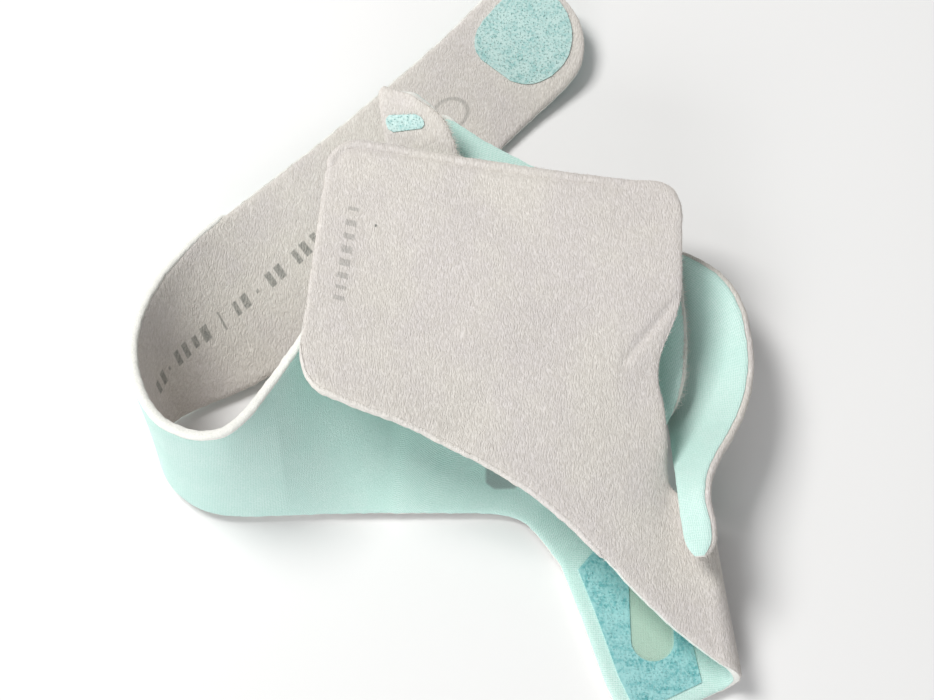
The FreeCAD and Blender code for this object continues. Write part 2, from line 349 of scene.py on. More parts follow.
def make_object(name, vertices, faces, coordinates=None):
    """A smooth mesh that remembers its rest place, and its place on the strip if that is given."""
    mesh = bpy.data.meshes.new(name)
    mesh.from_pydata(to_frame(vertices).tolist(), [], [list(map(int, f)) for f in faces])
    mesh.validate()
    rest = mesh.attributes.new("rest", "FLOAT_VECTOR", "POINT")
    rest.data.foreach_set("vector", to_frame(vertices).astype(np.float32).ravel())
    if coordinates is not None:
        layer = mesh.uv_layers.new(name="surface")
        corners = np.zeros(len(mesh.loops), np.int32)
        mesh.loops.foreach_get("vertex_index", corners)
        layer.data.foreach_set("uv", (coordinates[corners] * MM).astype(np.float32).ravel())
    mesh.polygons.foreach_set("use_smooth", [True] * len(mesh.polygons))
    mesh.set_sharp_from_angle(angle=math.radians(50))
    made = bpy.data.objects.new(name, mesh)
    bpy.context.scene.collection.objects.link(made)
    return made


def bend_by_label(piece):
    """The piece's transform is baked into its mesh; it is not bent."""
    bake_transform(piece)


# ---------------------------------------------------------------- fibres and hooks


def tubes(roots, tips, bends, radius, sides=3):
    """Tapered threads from roots to tips, pulled sideways at the middle by bends."""
    count = len(roots)
    heading = unit(tips - roots)
    spare = np.where(np.abs(heading[:, 2:3]) < 0.8, np.array([[0.0, 0, 1]]), np.array([[1.0, 0, 0]]))
    first = unit(np.cross(heading, spare))
    second = np.cross(heading, first)
    rings = []
    for share, size in ((0.0, 1.0), (0.5, 0.8), (1.0, 0.3)):
        centre = roots * (1 - share) + tips * share + bends * (4 * share * (1 - share))
        for k in range(sides):
            turn = 2 * math.pi * k / sides
            around = first * math.cos(turn) + second * math.sin(turn)
            rings.append(centre + around * (radius * size)[:, None])
    vertices = np.stack(rings, 1).reshape(-1, 3)
    pattern = []
    for ring in range(2):
        for k in range(sides):
            after = (k + 1) % sides
            low, high = ring * sides, (ring + 1) * sides
            pattern.append((low + k, low + after, high + after, high + k))
    faces = (np.array(pattern)[None] + (np.arange(count) * 3 * sides)[:, None, None]).reshape(-1, 4)
    caps = []
    base = np.arange(count) * 3 * sides
    for k in (0, 2):
        order = range(sides - 1, -1, -1) if k == 0 else range(sides)
        caps.append(np.stack([base + k * sides + j for j in order], -1))
    return vertices, [list(f) for f in faces] + [list(f) for f in np.concatenate(caps)], 3 * sides


def random_spots(line, density):
    """Spots scattered along a line: the point before each, and the share of the way to the next."""
    travel = travel_along(line)
    count = int(travel[-1] * density)
    spots = np.interp(rng.uniform(0, travel[-1], count), travel, np.arange(len(line)))
    low = spots.astype(int).clip(0, len(line) - 2)
    return low, (spots - low)[:, None]


def mixed(values, low, part):
    return values[low] * (1 - part) + values[low + 1] * part


def edge_fuzz(name, strip, rows, side, density, reach, sides_used=("top", "bottom"), end=None):
    """Loose pile fibres standing out of a strip's cut edges and, if asked, out of one end row.

    side is the face that they lean to, reach the longest fibre, density their number per mm."""
    roots, outs, lifts, alongs, labels = [], [], [], [], []
    inward = unit(strip["bottom"] - strip["top"])
    for key, sign, column in (("top", -1, 0), ("bottom", 1, -1)):
        if key not in sides_used:
            continue
        line = strip["points"][rows][:, column]
        low, part = random_spots(line, density)
        roots.append(mixed(line, low, part))
        lifts.append(unit(mixed(strip["normals"][rows][:, column], low, part)) * side)
        alongs.append(unit(line[low + 1] - line[low]))
        outs.append(unit(mixed(inward[rows], low, part)) * sign)
        labels.append(mixed(strip["label"][rows][:, None], low, part)[:, 0])
    if end is not None:
        line = strip["points"][end]
        low, part = random_spots(line, density)
        roots.append(mixed(line, low, part))
        lifts.append(strip["normals"][end][low] * side)
        alongs.append(unit(line[low + 1] - line[low]))
        neighbour = strip["points"][end - 1 if end != 0 else 1]
        outs.append(unit(line - neighbour)[low])
        labels.append(np.full(len(low), strip["label"][end]))
    roots, outs, lifts = np.concatenate(roots), np.concatenate(outs), np.concatenate(lifts)
    alongs, labels = np.concatenate(alongs), np.concatenate(labels)
    count = len(roots)
    roots = roots + lifts * rng.uniform(0.1, 1.0, (count, 1)) - outs * rng.uniform(0.05, 0.5, (count, 1))
    size = reach * rng.uniform(0.35, 1.0, (count, 1)) ** 1.5
    aim = outs * rng.uniform(0.2, 1.0, (count, 1)) + lifts * rng.uniform(-0.2, 0.7, (count, 1))
    aim += alongs * rng.normal(0, 0.7, (count, 1))
    tips = roots + unit(aim) * size
    bends = (alongs * rng.normal(0, 0.22, (count, 1)) + lifts * rng.normal(0, 0.12, (count, 1))) * size
    vertices, faces, per = tubes(roots, tips, bends, rng.uniform(0.025, 0.045, count))
    made = make_object(name, vertices, faces)
    return made, np.repeat(labels, per)


def edge_rim(name, strip, first, last, edge, motion, material, slot, thick, out, lift=0.0):
    """A soft rounded rim along one cut edge, between two station labels.

    thick is its half thickness, out its reach past the edge, lift its shift to the normal's side."""
    rows = rows_between(strip, first, last)
    column, inner_column = (0, 3) if edge == "top" else (-1, -4)
    line = strip["points"][rows][:, column]
    normal = strip["normals"][rows][:, column]
    outward = unit(line - strip["points"][rows][:, inner_column])
    along = travel_along(line)
    ends = np.clip(np.minimum(along, along[-1] - along) / 4, 0, 1)
    size = np.sqrt(1 - (1 - ends) ** 2) * 0.92 + 0.08
    turns = np.linspace(0, 2 * math.pi, 15)[:-1]
    rings = []
    for k, turn in enumerate(turns):
        uneven = (1 + wobble(along, 60 + k % 5, (1.3, 2.9, 7.3), 0.09)) * size
        reach = np.where(math.cos(turn) > 0, out, 0.9) * math.cos(turn)
        rise = thick * math.sin(turn) + lift
        rings.append(line + outward * (reach * uneven)[:, None] + normal * (rise * uneven)[:, None])
    vertices = np.stack(rings, 1).reshape(-1, 3)
    count, around = len(line), len(turns)
    number = np.arange(count * around).reshape(count, around)
    after = np.roll(number, -1, 1)
    faces = np.stack([number[:-1], number[1:], after[1:], after[:-1]], -1).reshape(-1, 4).tolist()
    faces += [number[0].tolist(), number[-1, ::-1].tolist()]
    if edge == "bottom":
        faces = [f[::-1] for f in faces]
    coordinates = np.stack([np.repeat(along, around), np.tile(turns, count)], -1)
    rim = dress(make_object(name, vertices, faces, coordinates), material, slot)
    attach(rim, motion)


def hook_field(name, places, normals, height, pull):
    """Small curved hooks standing on a patch."""
    count = len(places)
    lean = unit(rng.normal(0, 1, (count, 3)) + pull)
    lean = unit(lean - normals * (lean * normals).sum(1, keepdims=True))
    tips = places + normals * height + lean * rng.uniform(0.25, 0.5, (count, 1))
    bends = normals * rng.uniform(0.1, 0.2, (count, 1)) + rng.normal(0, 0.05, (count, 3))
    vertices, faces, _ = tubes(places - normals * 0.1, tips, bends, rng.uniform(0.06, 0.09, count), sides=4)
    return make_object(name, vertices, faces)


# ---------------------------------------------------------------- the flat lobe


def round_corners(corners, radii):
    """The outline as points about 0.5 mm apart, with arcs at the listed corners."""
    count = len(corners)
    outline, free = [], []
    knots = []
    for k in range(count):
        here = np.array(corners[k], float)
        if k not in radii:
            knots.append([here])
            continue
        before = unit(np.array(corners[k - 1], float) - here)
        after = unit(np.array(corners[(k + 1) % count], float) - here)
        half = math.acos(np.clip(before @ after, -1, 1)) / 2
        cut = radii[k] / math.tan(half)
        centre = here + unit(before + after) * radii[k] / math.sin(half)
        start, finish = here + before * cut - centre, here + after * cut - centre
        arc = []
        for share in np.linspace(0, 1, 13):
            arc.append(centre + unit(start * (1 - share) + finish * share) * radii[k])
        knots.append(arc)
    for k in range(count):
        arc = knots[k]
        outline += arc
        free += [k < LOBE_FREE or k == count - 2] * len(arc)
        here, there = arc[-1], knots[(k + 1) % count][0]
        parts = int(np.linalg.norm(there - here) / 0.5)
        for share in np.linspace(0, 1, parts + 1)[1:-1]:
            outline.append(here * (1 - share) + there * share)
            free.append(k < LOBE_FREE or k == count - 2)
    return np.array(outline), np.array(free)


def lobe_sheet():
    """The lobe's flat points, triangles, and distance of each point from a cut edge."""
    outline, free = round_corners(LOBE, LOBE_CORNERS)
    count = len(outline)
    heading = unit(np.roll(outline, -1, 0) - np.roll(outline, 1, 0))
    inward = np.stack([-heading[:, 1], heading[:, 0]], -1)
    rings = [outline + inward * spot for spot in EDGE_SPOTS[1:]]
    low, high = outline.min(0), outline.max(0)
    x, y = np.meshgrid(np.arange(low[0], high[0], 0.9), np.arange(low[1], high[1], 0.9))
    inside = np.stack([x.ravel(), y.ravel()], -1)
    points = [outline]
    every = np.array([[*p, 0] for p in outline])
    for spot, ring in zip(EDGE_SPOTS[1:], rings):
        away = distance_to(np.c_[ring, np.zeros(len(ring))], every)
        points.append(ring[away > spot * 0.9])
    away = distance_to(np.c_[inside, np.zeros(len(inside))], every)
    points.append(inside[(away > 2.6) & within(inside, outline)])
    points = np.concatenate(points)
    loop = [(k, (k + 1) % count) for k in range(count)]
    found, _, triangles, *_ = geometry.delaunay_2d_cdt(
        [Vector(p) for p in points], loop, [list(range(count))], 1, 1e-5)
    flat = np.array([list(p) for p in found])
    edge = distance_to(np.c_[flat, np.zeros(len(flat))], every[free])
    return flat, np.array(triangles), edge


def within(points, outline):
    """Which points lie inside a closed outline."""
    inside = np.zeros(len(points), bool)
    after = np.roll(outline, -1, 0)
    for (ax, ay), (bx, by) in zip(outline, after):
        crossing = (ay > points[:, 1]) != (by > points[:, 1])
        with np.errstate(divide="ignore", invalid="ignore"):
            edge_x = (bx - ax) * (points[:, 1] - ay) / (by - ay) + ax
        inside ^= crossing & (points[:, 0] < edge_x)
    return inside


def plate(flat, triangles, edge, inner, outer):
    """A closed layer of the lobe between two offsets from its middle height."""
    high = outer * pressed(edge)
    if abs(outer) > FOAM:
        high = high - math.copysign(1, outer) * rounded(edge)
    low = inner * pressed(edge)
    upper = np.c_[flat, LOBE_HEIGHT + high]
    lower = np.c_[flat, LOBE_HEIGHT + low]
    count = len(flat)
    pairs = {}
    for a, b, c in triangles:
        for pair in ((a, b), (b, c), (c, a)):
            pairs[pair] = True
    rim = [(a, b) for a, b in pairs if (b, a) not in pairs]
    faces = [list(t) for t in triangles] + [[a + count for a in t[::-1]] for t in triangles]
    faces += [[b, a, a + count, b + count] for a, b in rim]
    if outer < inner:
        faces = [f[::-1] for f in faces]
    return np.concatenate([upper, lower]), faces, np.tile(flat, (2, 1))


# ---------------------------------------------------------------- materials


def colour(red, green, blue):
    """A screen colour as the linear colour that shaders use."""
    return tuple(((c + 0.055) / 1.055) ** 2.4 for c in (red, green, blue)) + (1.0,)


class Shader:
    """A material being built, one node at a time."""

    def __init__(self, name):
        self.material = bpy.data.materials.new(name)
        self.material.use_nodes = True
        self.tree = self.material.node_tree
        self.base = self.tree.nodes["Principled BSDF"]

    def add(self, kind, inputs=(), **settings):
        made = self.tree.nodes.new(kind)
        for key, value in settings.items():
            setattr(made, key, value)
        for key, value in dict(inputs).items():
            self.put(made.inputs[key], value)
        return made

    def put(self, socket, value):
        if isinstance(value, bpy.types.NodeSocket):
            self.tree.links.new(value, socket)
        else:
            socket.default_value = value

    def set(self, **values):
        for key, value in values.items():
            self.put(self.base.inputs[key.replace("_", " ")], value)

    def maths(self, operation, first, second=0.0):
        return self.add("ShaderNodeMath", {0: first, 1: second}, operation=operation).outputs[0]

    def length(self, first, second):
        """The length of a flat vector."""
        squares = [self.maths("MULTIPLY", part, part) for part in (first, second)]
        return self.maths("SQRT", self.maths("ADD", *squares))

    def mix(self, share, first, second):
        made = self.add("ShaderNodeMix", data_type="RGBA")
        self.put(made.inputs[0], share)
        self.put(made.inputs[6], first)
        self.put(made.inputs[7], second)
        return made.outputs[2]

    def noise(self, vector, scale, detail=3.0, rough=0.55):
        inputs = {"Vector": vector, "Scale": scale, "Detail": detail, "Roughness": rough}
        return self.add("ShaderNodeTexNoise", inputs).outputs["Fac"]

    def ramp(self, value, low, high):
        made = self.add("ShaderNodeMapRange", {"Value": value, "From Min": low, "From Max": high})
        made.interpolation_type = "SMOOTHSTEP"
        return made.outputs["Result"]

    def rest(self):
        """Where each point of the mesh was before any pose."""
        return self.add("ShaderNodeAttribute", attribute_name="rest").outputs["Vector"]

    def between(self, value, low, high, soft):
        """1 between two values, fading to 0 outside them."""
        rise = self.ramp(value, low - soft, low + soft)
        fall = self.ramp(value, high + soft, high - soft)
        return self.maths("MULTIPLY", rise, fall)

    def stretched(self, vector, scale, turn=0.0):
        inputs = {"Vector": vector, "Scale": scale, "Rotation": (0, 0, turn)}
        return self.add("ShaderNodeMapping", inputs).outputs["Vector"]

    def vector_noise(self, vector, scale, size):
        """A small sideways wander for another texture's coordinates."""
        made = self.add("ShaderNodeTexNoise", {"Vector": vector, "Scale": scale, "Detail": 1.0})
        centred = self.add("ShaderNodeVectorMath", {0: made.outputs["Color"], 1: (0.5, 0.5, 0.5)},
                           operation="SUBTRACT").outputs[0]
        return self.add("ShaderNodeVectorMath", {0: centred, "Scale": size}, operation="SCALE").outputs[0]

    def bump(self, height, distance, strength):
        inputs = {"Height": height, "Distance": distance, "Strength": strength}
        return self.add("ShaderNodeBump", inputs).outputs["Normal"]


def knit_material(name, light, shaded):
    """Fine smooth knit: wales along the strip, courses across, a soft bloom, and painted shade in the stitch
    valleys.
    """
    s = Shader(name)
    spot = s.add("ShaderNodeUVMap", uv_map="surface").outputs["UV"]
    place = s.rest()
    warp = s.noise(place, 1100, 2)
    split = s.add("ShaderNodeSeparateXYZ", {"Vector": spot})
    across = s.maths("ADD", split.outputs["Y"], s.maths("MULTIPLY", warp, 0.0003))
    wale = s.maths("SINE", s.maths("MULTIPLY", across, 2 * math.pi / 0.00042))
    course = s.maths("SINE", s.maths("ADD", s.maths("MULTIPLY", split.outputs["X"], 2 * math.pi / 0.00052),
                                     s.maths("MULTIPLY", s.maths("ABSOLUTE", wale), 1.6)))
    stitch = s.maths("ADD", s.maths("MULTIPLY", wale, 0.6), s.maths("MULTIPLY", course, 0.3))
    fluff = s.ramp(s.noise(place, 3600, 4, 0.7), 0.35, 0.65)
    height = s.maths("ADD", stitch, s.maths("MULTIPLY", fluff, 1.2))
    patchy = s.ramp(s.noise(place, 130, 4), 0.35, 0.65)
    # painted shade: the low parts of the stitch and fluff height are coloured towards the darker shaded mint
    valley_shade = s.ramp(s.maths("ADD", stitch, fluff), -0.7, 1.5)
    tone = s.mix(patchy, colour(light[0] * 0.96, light[1] * 0.985, light[2] * 0.98), colour(*light))
    shade = s.mix(valley_shade, colour(*shaded), tone)
    height_map = s.bump(height, 0.00004, 0.7)
    s.set(Roughness=0.7, Sheen_Weight=0.3, Sheen_Roughness=0.4, Sheen_Tint=colour(0.92, 1.0, 0.98),
          Specular_IOR_Level=0.3, Normal=height_map)
    shade = s.mix(place_patch(s, place), shade, colour(0.60, 0.65, 0.64))
    # painted shade: the knit in the lobe's window is coloured a darker olive
    s.set(Base_Color=s.mix(window_painted_shade(s, place), shade, colour(0.66, 0.76, 0.68)))
    return s.material


def window_painted_shade(s, place):
    """Painted shade inside the lobe's window, where the flap's shadow falls: the knit coloured a darker
    olive. A mask from 0 to 1.
    """
    split = s.add("ShaderNodeSeparateXYZ", {"Vector": place})
    aside = s.maths("ABSOLUTE", s.maths("SUBTRACT", split.outputs["X"], (WINDOW_CENTRE[0] - CENTRE[0]) * MM))
    along = s.maths("ABSOLUTE", s.maths("SUBTRACT", split.outputs["Y"], (WINDOW_CENTRE[1] - CENTRE[1]) * MM))
    beyond = s.maths("MAXIMUM", s.maths("SUBTRACT", along, (WINDOW_HALF[1] - WINDOW_HALF[0]) * MM), 0.0)
    reach = s.length(aside, beyond)
    inside = s.ramp(reach, (WINDOW_HALF[0] + 0.6) * MM, (WINDOW_HALF[0] - 0.6) * MM)
    low = s.ramp(split.outputs["Z"], 0.0032, 0.0026)
    return s.maths("MULTIPLY", s.maths("MULTIPLY", inside, low), 0.75)


def place_patch(s, place):
    """A plain grey printed patch on the panel, partly under the flap: a mask from 0 to 1."""
    split = s.add("ShaderNodeSeparateXYZ", {"Vector": place})
    wide = s.between(split.outputs["X"], *PANEL_PRINT[0], 0.0004)
    tall = s.between(split.outputs["Y"], *PANEL_PRINT[1], 0.0004)
    slope = s.maths("ADD", split.outputs["Y"], s.maths("MULTIPLY", split.outputs["X"], 0.75))
    cut = s.ramp(slope, PANEL_PRINT[2] - 0.0004, PANEL_PRINT[2] + 0.0004)
    high = s.ramp(split.outputs["Z"], 0.0015, 0.0022)
    mask = s.maths("MULTIPLY", s.maths("MULTIPLY", wide, tall), s.maths("MULTIPLY", cut, high))
    return s.maths("MULTIPLY", mask, 0.85)


def pile_material(name, light, shaded, print_mask=None):
    """Brushed pile: short strands of nap lying one way, the gaps between them darkened with painted shade.
    """
    s = Shader(name)
    place = s.rest()
    spot = s.add("ShaderNodeUVMap", uv_map="surface").outputs["UV"]
    wander = s.vector_noise(place, 260, 0.0009)
    bent = s.add("ShaderNodeVectorMath", {0: place, 1: wander}, operation="ADD").outputs[0]
    nap = s.ramp(s.noise(s.stretched(bent, (1.0, 0.33, 0.6), 0.15), 3000, 3, 0.6), 0.34, 0.66)
    strand = s.ramp(s.noise(s.stretched(bent, (1.0, 0.28, 0.6), -0.1), 4300, 2, 0.6), 0.38, 0.62)
    matted = s.ramp(s.noise(place, 420, 4, 0.6), 0.32, 0.68)
    wide = s.ramp(s.noise(place, 55, 3), 0.35, 0.65)
    height = s.maths("ADD", nap, s.maths("MULTIPLY", strand, 0.55))
    height = s.maths("ADD", height, s.maths("MULTIPLY", matted, 0.7))
    fibre = s.maths("ADD", s.maths("MULTIPLY", nap, 0.6), s.maths("MULTIPLY", strand, 0.4))
    lilac = (light[0] * 0.97, light[1] * 0.965, light[2] * 0.985)
    tone = s.mix(wide, colour(*lilac), colour(*light))
    tone = s.mix(s.maths("MULTIPLY", matted, 0.3), tone, colour(*[c * 0.94 for c in light]))
    # painted shade: where the nap is low the colour is mixed towards the darker shaded grey
    shade = s.mix(fibre, s.mix(0.45, tone, colour(*shaded)), tone)
    if print_mask is not None:
        ink = s.maths("MULTIPLY", print_mask(s, spot), s.maths("ADD", 0.45, s.maths("MULTIPLY", nap, 0.4)))
        shade = s.mix(ink, shade, colour(*INK))
    s.set(Base_Color=shade, Roughness=0.95, Sheen_Weight=0.35, Sheen_Roughness=0.55,
          Sheen_Tint=colour(1.0, 0.98, 0.95), Specular_IOR_Level=0.1, Normal=s.bump(height, 0.00009, 0.85))
    return s.material


def strap_print(s, spot):
    """Plain bars and dots in a row along the strap, and an open oval ring further on."""
    split = s.add("ShaderNodeSeparateXYZ", {"Vector": spot})
    along, across = split.outputs["X"], split.outputs["Y"]
    row = None
    for first, last, half in STRAP_BARS:
        bar = s.maths("MULTIPLY", s.between(along, first * MM, last * MM, 0.0002),
                      s.between(across, (0.6 - half) * MM, (0.6 + half) * MM, 0.0002))
        row = bar if row is None else s.maths("MAXIMUM", row, bar)
    sideways = s.maths("MULTIPLY", s.maths("SUBTRACT", across, RING[1] * MM), 1.25)
    ahead = s.maths("SUBTRACT", along, RING[0] * MM)
    reach = s.length(ahead, sideways)
    ring = s.between(reach, RING[2] * MM, RING[3] * MM, 0.0003)
    return s.maths("MAXIMUM", row, s.maths("MULTIPLY", ring, 0.55))


def flap_print(s, spot):
    """A faint row of short dashes near the flap's far edge, and one speck of lint."""
    split = s.add("ShaderNodeSeparateXYZ", {"Vector": spot})
    along, across = split.outputs["X"], split.outputs["Y"]
    row = None
    for first, last in FLAP_DASHES:
        dash = s.between(across, first * MM, last * MM, 0.00015)
        row = dash if row is None else s.maths("MAXIMUM", row, dash)
    row = s.maths("MULTIPLY", row, s.between(along, 125.2 * MM, 127.6 * MM, 0.00015))
    speck = s.maths("MULTIPLY", s.between(along, 121.0 * MM, 121.5 * MM, 0.0002),
                    s.between(across, -9.9 * MM, -9.3 * MM, 0.0002))
    return s.maths("MAXIMUM", s.maths("MULTIPLY", row, 0.55), s.maths("MULTIPLY", speck, 1.5))


def foam_material():
    """Closed fine foam with a faint cell grain, seen at the cut edges."""
    s = Shader("foam_core")
    place = s.rest()
    cells = s.add("ShaderNodeTexVoronoi", {"Vector": place, "Scale": 3600.0}).outputs["Distance"]
    grain = s.noise(place, 2500, 4, 0.65)
    height = s.maths("ADD", cells, s.maths("MULTIPLY", grain, 0.8))
    s.set(Base_Color=s.mix(s.ramp(grain, 0.3, 0.7), colour(0.90, 0.905, 0.88), colour(0.96, 0.955, 0.935)),
          Roughness=0.9, Sheen_Weight=0.25, Specular_IOR_Level=0.2, Normal=s.bump(height, 0.00012, 0.7))
    return s.material


def hook_material(name, light, shaded):
    """Moulded nylon hooks: a glassy teal, with random blotches of a darker painted shade teal and a fine
    grain that lightens it towards the lit teal.
    """
    s = Shader(name)
    place = s.rest()
    grain = s.noise(place, 1400, 4, 0.6)
    # painted shade: random blotches of the darker teal, the colour of the teal in shadow
    shade_blotches = s.ramp(s.noise(place, 420, 3), 0.35, 0.7)
    tone = s.mix(shade_blotches, colour(*shaded), colour(*light))
    s.set(Base_Color=s.mix(s.ramp(grain, 0.35, 0.65), tone, colour(*light)),
          Roughness=s.add("ShaderNodeMapRange", {"Value": grain, "To Min": 0.28, "To Max": 0.5}).outputs[0],
          Specular_IOR_Level=0.6, Normal=s.bump(grain, 0.00012, 0.6))
    return s.material


MINT = (0.85, 0.938, 0.918)
# painted shade colour for the knit's stitch valleys
MINT_VALLEY_SHADE = (0.72, 0.87, 0.83)
GREY = (0.91, 0.893, 0.868)
# painted shade colour for the gaps in the pile
GREY_GAP_SHADE = (0.68, 0.65, 0.61)
INK = (0.47, 0.48, 0.46)

mint = knit_material("mint_knit", MINT, MINT_VALLEY_SHADE)
grey = pile_material("grey_pile", GREY, GREY_GAP_SHADE)
strap_grey = pile_material("printed_strap_pile", GREY, GREY_GAP_SHADE, strap_print)
flap_grey = pile_material("printed_flap_pile", GREY, GREY_GAP_SHADE, flap_print)
fuzz_grey = pile_material("pile_fuzz", (0.93, 0.915, 0.89), (0.86, 0.84, 0.81))
foam = foam_material()
# each hook colour pair: the lit teal, then a painted shade teal
teal = hook_material("teal_hook", (0.62, 0.82, 0.82), (0.38, 0.67, 0.68))
pale_teal = hook_material("pale_teal_hook", (0.76, 0.87, 0.855), (0.60, 0.78, 0.77))


# ---------------------------------------------------------------- pieces


def dress(piece, material, slot, *nodes):
    piece.data.materials.append(material)
    if nodes:
        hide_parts(*nodes)
    return piece


def make_layers(name, strip, rows, knit_side, motion, nodes, pile_relief=None, fuzz=7.0,
                fuzz_reach=0.7, fuzz_end=None, pile=None):
    """Knit, foam and pile over some rows of a strip, with fuzz on the pile's edges."""
    layers = (("knit", SKIN, FACE, knit_side, mint, "mint_knit"),
              ("foam", -FOAM, FOAM, 1, foam, "foam"),
              ("pile", SKIN, FACE, -knit_side, pile or grey, "grey_pile"))
    fibres, fibre_label = edge_fuzz(name + "_fuzz", strip, rows, -knit_side, fuzz, fuzz_reach, end=fuzz_end)
    attach(dress(fibres, fuzz_grey, "grey_pile"), motion)
    for layer, inner, outer, side, material, slot in layers:
        relief = pile_relief if layer == "pile" else None
        vertices, faces, coordinates, label = shell(strip, rows, inner * side, outer * side, relief)
        piece = make_object(name + "_" + layer, vertices, faces, coordinates)
        dress(piece, material, slot, *[node + "_" + layer for node in nodes])
        attach(piece, motion)


def fray(name, strip, low, high, edge, side, motion, density, reach):
    """A thicker ragged fringe of pile along one part of one cut edge."""
    fibres, label = edge_fuzz(name, strip, rows_between(strip, low, high), side, density, reach, (edge,))
    attach(dress(fibres, fuzz_grey, "grey_pile"), motion)


def flap_relief(strip):
    """The flap's pressed seam inside its long edge, and the shallow crease near the fold."""
    points = strip["points"]
    free = strip["label"] > 9.4
    seam = distance_to(points, strip["top"][free])
    relief = -0.42 * np.exp(-((seam - 2.1) / 0.4) ** 2) + 0.1 * np.exp(-((seam - 1.0) / 0.7) ** 2)
    relief *= np.clip((strip["label"] - 8.6) / 0.8, 0, 1)[:, None]
    start, end = np.array(CREASE[0]), np.array(CREASE[1])
    along = ((points[..., :2] - start) @ (end - start)) / ((end - start) @ (end - start))
    gap = points[..., :2] - start - along[..., None] * (end - start)
    aside = np.linalg.norm(gap, axis=-1)
    fade = np.clip(1 - (along * 2 - 1) ** 4, 0, 1) * (np.abs(along - 0.5) < 0.5)
    above = strip["label"][:, None] > 4
    return relief - 0.45 * np.exp(-(aside / 1.0) ** 2) * fade * above


def attach(piece, motion):
    if isinstance(motion, str):
        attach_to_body(piece, motion)
    else:
        bend_by_label(piece)


def make_lobe():
    flat, triangles, edge = lobe_sheet()
    for layer, inner, outer, material, slot in (("knit", SKIN, FACE, mint, "mint_knit"),
                                                ("foam", -FOAM, FOAM, foam, "foam"),
                                                ("pile", -SKIN, -FACE, grey, "grey_pile")):
        vertices, faces, coordinates = plate(flat, triangles, edge, inner, outer)
        piece = make_object("lobe_" + layer + "_skin", vertices, faces, coordinates)
        dress(piece, material, slot, "lobe_" + layer)
        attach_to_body(piece, "wrap")


def inset(corners, border):
    """An anticlockwise outline moved inwards by a border."""
    corners = np.array(corners, float)
    ahead = unit(np.roll(corners, -1, 0) - corners)
    behind = np.roll(ahead, 1, 0)
    inward = unit(np.stack([-ahead[:, 1] - behind[:, 1], ahead[:, 0] + behind[:, 0]], -1))
    turn = np.arccos(np.clip((ahead * behind).sum(1), -1, 1))
    return corners + inward * (border / np.cos(turn / 2))[:, None]


def in_window(points, grow=0.0):
    """Which points lie in the smooth window, a long rounded slot."""
    offset = np.abs(points - np.array(WINDOW_CENTRE))
    straight = WINDOW_HALF[1] - WINDOW_HALF[0]
    beyond = np.maximum(offset[:, 1] - straight, 0)
    return np.hypot(offset[:, 0], beyond) < WINDOW_HALF[0] + grow


def make_lobe_hooks():
    """The lobe's hook patch: a thin base with a window, and a field of hooks on it."""
    outline, _ = round_corners(inset(LOBE, 3.0).tolist(), {3: 2.0})
    straight = WINDOW_HALF[1] - WINDOW_HALF[0]
    hole = []
    for turn in np.linspace(0, 2 * math.pi, 49)[:-1]:
        rise = WINDOW_HALF[0] * math.sin(turn) + math.copysign(straight, math.sin(turn))
        hole.append((WINDOW_CENTRE[0] + WINDOW_HALF[0] * math.cos(turn), WINDOW_CENTRE[1] + rise))
    hole = np.array(hole)
    low, high = outline.min(0), outline.max(0)
    x, y = np.meshgrid(np.arange(low[0], high[0], 0.78), np.arange(low[1], high[1], 0.68))
    x[::2] += 0.39
    spots = np.stack([x.ravel(), y.ravel()], -1)
    rim = np.c_[np.concatenate([outline, hole]), np.zeros(len(outline) + len(hole))]
    clear = distance_to(np.c_[spots, np.zeros(len(spots))], rim) > 0.5
    spots = spots[clear & within(spots, outline) & ~in_window(spots)]
    count, holes = len(outline), len(hole)
    loops = [(k, (k + 1) % count) for k in range(count)]
    loops += [(count + k, count + (k + 1) % holes) for k in range(holes)]
    found, _, triangles, *_ = geometry.delaunay_2d_cdt(
        [Vector(p) for p in np.concatenate([outline, hole, spots])], loops, [], 0, 1e-5)
    flat = np.array([list(p) for p in found])
    middles = flat[np.array(triangles)].mean(1)
    keep = within(middles, outline) & ~in_window(middles, -0.02)
    triangles = np.array(triangles)[keep]
    edge = distance_to(np.c_[flat, np.zeros(len(flat))], rim)
    vertices, faces, coordinates = plate(flat, triangles, edge + 9, FACE - 0.02, HOOK_HIGH)
    base = make_object("lobe_hook_base", vertices, faces, coordinates)
    dress(base, teal, "teal_hook", "lobe_hook_patch")
    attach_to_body(base, "wrap")
    spots = spots + rng.normal(0, 0.1, spots.shape)
    ground = np.c_[spots, np.full(len(spots), LOBE_HEIGHT + HOOK_HIGH)]
    up = np.tile([0.0, 0, 1], (len(ground), 1))
    heights = rng.uniform(0.25, 0.45, (len(ground), 1))
    hooks = hook_field("lobe_hooks", ground, up, heights, np.array([0.6, 0.3, 0]))
    dress(hooks, teal, "teal_hook")
    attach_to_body(hooks, "wrap")


